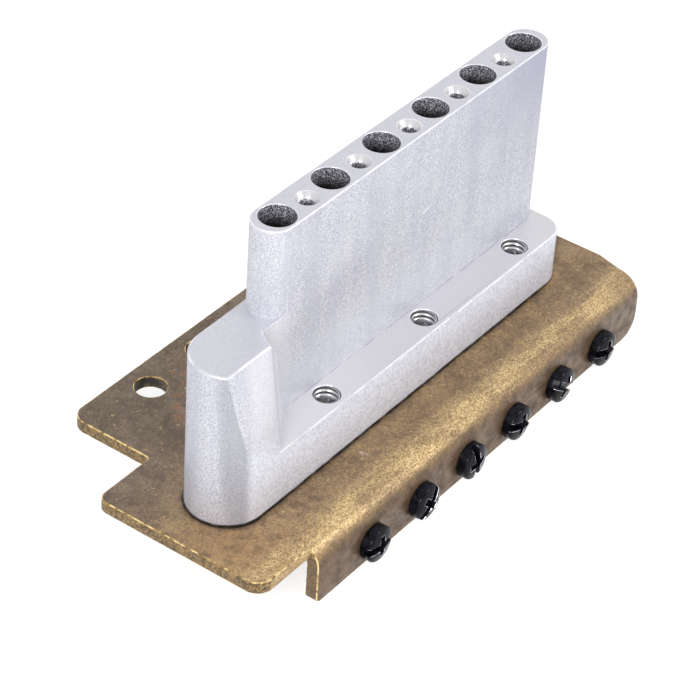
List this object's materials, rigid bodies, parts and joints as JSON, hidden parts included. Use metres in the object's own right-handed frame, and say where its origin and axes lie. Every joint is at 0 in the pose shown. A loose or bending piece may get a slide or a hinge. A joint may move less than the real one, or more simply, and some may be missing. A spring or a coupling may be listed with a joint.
{
  "type": "guitar tremolo bridge",
  "caption": "Tremolo bridge: cast sustain block with an arm boss on a bent sheet plate, with sliding saddles on spring-loaded screws",
  "frame": {"origin": "centre of the bounding box in X and Y, on the surface that the foot of the lip and the saddles' crowns stand on", "axes": "+X along the row of strings, from the arm boss to the far end; +Y from the screw heads to the pivot holes; +Z from the saddles to the top of the block"},
  "size_m": [0.0846, 0.0417, 0.0445],
  "materials": {
    "aged_plate": "antique, mottled, rubbed bright on the bend",
    "cast_block": "bead-blasted die casting, fine grain",
    "steel_screw": "plain",
    "spring_wire": "drawn wire",
    "black_screw": "gloss black",
    "saddle_steel": "satin plating",
    "grub_steel": "dark oxide"
  },
  "bodies": {
    "bridge": {"base_plate": "aged_plate", "sustain_block": "cast_block", "block_screw_1": "steel_screw", "block_screw_2": "steel_screw", "block_screw_3": "steel_screw", "intonation_spring_1": "spring_wire", "intonation_spring_2": "spring_wire", "intonation_spring_3": "spring_wire", "intonation_spring_4": "spring_wire", "intonation_spring_5": "spring_wire", "intonation_spring_6": "spring_wire"},
    "intonation_screw_1": {"intonation_screw_1": "black_screw"},
    "saddle_1": {"saddle_1": "saddle_steel"},
    "saddle_1_grub_a": {"saddle_1_grub_a": "grub_steel"},
    "saddle_1_grub_b": {"saddle_1_grub_b": "grub_steel"},
    "intonation_screw_2": {"intonation_screw_2": "black_screw"},
    "saddle_2": {"saddle_2": "saddle_steel"},
    "saddle_2_grub_a": {"saddle_2_grub_a": "grub_steel"},
    "saddle_2_grub_b": {"saddle_2_grub_b": "grub_steel"},
    "intonation_screw_3": {"intonation_screw_3": "black_screw"},
    "saddle_3": {"saddle_3": "saddle_steel"},
    "saddle_3_grub_a": {"saddle_3_grub_a": "grub_steel"},
    "saddle_3_grub_b": {"saddle_3_grub_b": "grub_steel"},
    "intonation_screw_4": {"intonation_screw_4": "black_screw"},
    "saddle_4": {"saddle_4": "saddle_steel"},
    "saddle_4_grub_a": {"saddle_4_grub_a": "grub_steel"},
    "saddle_4_grub_b": {"saddle_4_grub_b": "grub_steel"},
    "intonation_screw_5": {"intonation_screw_5": "black_screw"},
    "saddle_5": {"saddle_5": "saddle_steel"},
    "saddle_5_grub_a": {"saddle_5_grub_a": "grub_steel"},
    "saddle_5_grub_b": {"saddle_5_grub_b": "grub_steel"},
    "intonation_screw_6": {"intonation_screw_6": "black_screw"},
    "saddle_6": {"saddle_6": "saddle_steel"},
    "saddle_6_grub_a": {"saddle_6_grub_a": "grub_steel"},
    "saddle_6_grub_b": {"saddle_6_grub_b": "grub_steel"}
  },
  "joints": [
    {"name": "intonation_screw_1_turn", "type": "hinge", "parent": "bridge", "child": "intonation_screw_1", "pos_m": [-0.0211, -0.01894, 0.003], "axis": [0, -1, 0], "continuous": true},
    {"name": "saddle_1_slide", "type": "slide", "parent": "bridge", "child": "saddle_1", "axis": [0, 1, 0], "range_m": [-0.0025, 0.0025], "deforming": ["intonation_spring_1"]},
    {"name": "saddle_1_grub_a_turn", "type": "hinge", "parent": "saddle_1", "child": "saddle_1_grub_a", "pos_m": [-0.0242, 0.00292, 0.00055], "axis": [0, 0, 1], "range_deg": [-1080, 1080]},
    {"name": "saddle_1_grub_b_turn", "type": "hinge", "parent": "saddle_1", "child": "saddle_1_grub_b", "pos_m": [-0.018, 0.00292, 0.00055], "axis": [0, 0, 1], "range_deg": [-1080, 1080]},
    {"name": "intonation_screw_2_turn", "type": "hinge", "parent": "bridge", "child": "intonation_screw_2", "pos_m": [-0.0106, -0.01894, 0.003], "axis": [0, -1, 0], "continuous": true},
    {"name": "saddle_2_slide", "type": "slide", "parent": "bridge", "child": "saddle_2", "axis": [0, 1, 0], "range_m": [-0.0025, 0.0025], "deforming": ["intonation_spring_2"]},
    {"name": "saddle_2_grub_a_turn", "type": "hinge", "parent": "saddle_2", "child": "saddle_2_grub_a", "pos_m": [-0.0137, 0.00292, 0.00055], "axis": [0, 0, 1], "range_deg": [-1080, 1080]},
    {"name": "saddle_2_grub_b_turn", "type": "hinge", "parent": "saddle_2", "child": "saddle_2_grub_b", "pos_m": [-0.0075, 0.00292, 0.00055], "axis": [0, 0, 1], "range_deg": [-1080, 1080]},
    {"name": "intonation_screw_3_turn", "type": "hinge", "parent": "bridge", "child": "intonation_screw_3", "pos_m": [-0.0001, -0.01894, 0.003], "axis": [0, -1, 0], "continuous": true},
    {"name": "saddle_3_slide", "type": "slide", "parent": "bridge", "child": "saddle_3", "axis": [0, 1, 0], "range_m": [-0.0025, 0.0025], "deforming": ["intonation_spring_3"]},
    {"name": "saddle_3_grub_a_turn", "type": "hinge", "parent": "saddle_3", "child": "saddle_3_grub_a", "pos_m": [-0.0032, 0.00292, 0.00055], "axis": [0, 0, 1], "range_deg": [-1080, 1080]},
    {"name": "saddle_3_grub_b_turn", "type": "hinge", "parent": "saddle_3", "child": "saddle_3_grub_b", "pos_m": [0.003, 0.00292, 0.00055], "axis": [0, 0, 1], "range_deg": [-1080, 1080]},
    {"name": "intonation_screw_4_turn", "type": "hinge", "parent": "bridge", "child": "intonation_screw_4", "pos_m": [0.0104, -0.01894, 0.003], "axis": [0, -1, 0], "continuous": true},
    {"name": "saddle_4_slide", "type": "slide", "parent": "bridge", "child": "saddle_4", "axis": [0, 1, 0], "range_m": [-0.0025, 0.0025], "deforming": ["intonation_spring_4"]},
    {"name": "saddle_4_grub_a_turn", "type": "hinge", "parent": "saddle_4", "child": "saddle_4_grub_a", "pos_m": [0.0073, 0.00292, 0.00055], "axis": [0, 0, 1], "range_deg": [-1080, 1080]},
    {"name": "saddle_4_grub_b_turn", "type": "hinge", "parent": "saddle_4", "child": "saddle_4_grub_b", "pos_m": [0.0135, 0.00292, 0.00055], "axis": [0, 0, 1], "range_deg": [-1080, 1080]},
    {"name": "intonation_screw_5_turn", "type": "hinge", "parent": "bridge", "child": "intonation_screw_5", "pos_m": [0.0209, -0.01894, 0.003], "axis": [0, -1, 0], "continuous": true},
    {"name": "saddle_5_slide", "type": "slide", "parent": "bridge", "child": "saddle_5", "axis": [0, 1, 0], "range_m": [-0.0025, 0.0025], "deforming": ["intonation_spring_5"]},
    {"name": "saddle_5_grub_a_turn", "type": "hinge", "parent": "saddle_5", "child": "saddle_5_grub_a", "pos_m": [0.0178, 0.00292, 0.00055], "axis": [0, 0, 1], "range_deg": [-1080, 1080]},
    {"name": "saddle_5_grub_b_turn", "type": "hinge", "parent": "saddle_5", "child": "saddle_5_grub_b", "pos_m": [0.024, 0.00292, 0.00055], "axis": [0, 0, 1], "range_deg": [-1080, 1080]},
    {"name": "intonation_screw_6_turn", "type": "hinge", "parent": "bridge", "child": "intonation_screw_6", "pos_m": [0.0314, -0.01894, 0.003], "axis": [0, -1, 0], "continuous": true},
    {"name": "saddle_6_slide", "type": "slide", "parent": "bridge", "child": "saddle_6", "axis": [0, 1, 0], "range_m": [-0.0025, 0.0025], "deforming": ["intonation_spring_6"]},
    {"name": "saddle_6_grub_a_turn", "type": "hinge", "parent": "saddle_6", "child": "saddle_6_grub_a", "pos_m": [0.0283, 0.00292, 0.00055], "axis": [0, 0, 1], "range_deg": [-1080, 1080]},
    {"name": "saddle_6_grub_b_turn", "type": "hinge", "parent": "saddle_6", "child": "saddle_6_grub_b", "pos_m": [0.0345, 0.00292, 0.00055], "axis": [0, 0, 1], "range_deg": [-1080, 1080]}
  ],
  "couplings": [
    {"joint": "intonation_screw_1_turn", "follows": "saddle_1_slide", "rad_per_m": 13963},
    {"joint": "intonation_screw_2_turn", "follows": "saddle_2_slide", "rad_per_m": 13963},
    {"joint": "intonation_screw_3_turn", "follows": "saddle_3_slide", "rad_per_m": 13963},
    {"joint": "intonation_screw_4_turn", "follows": "saddle_4_slide", "rad_per_m": 13963},
    {"joint": "intonation_screw_5_turn", "follows": "saddle_5_slide", "rad_per_m": 13963},
    {"joint": "intonation_screw_6_turn", "follows": "saddle_6_slide", "rad_per_m": 13963}
  ]
}
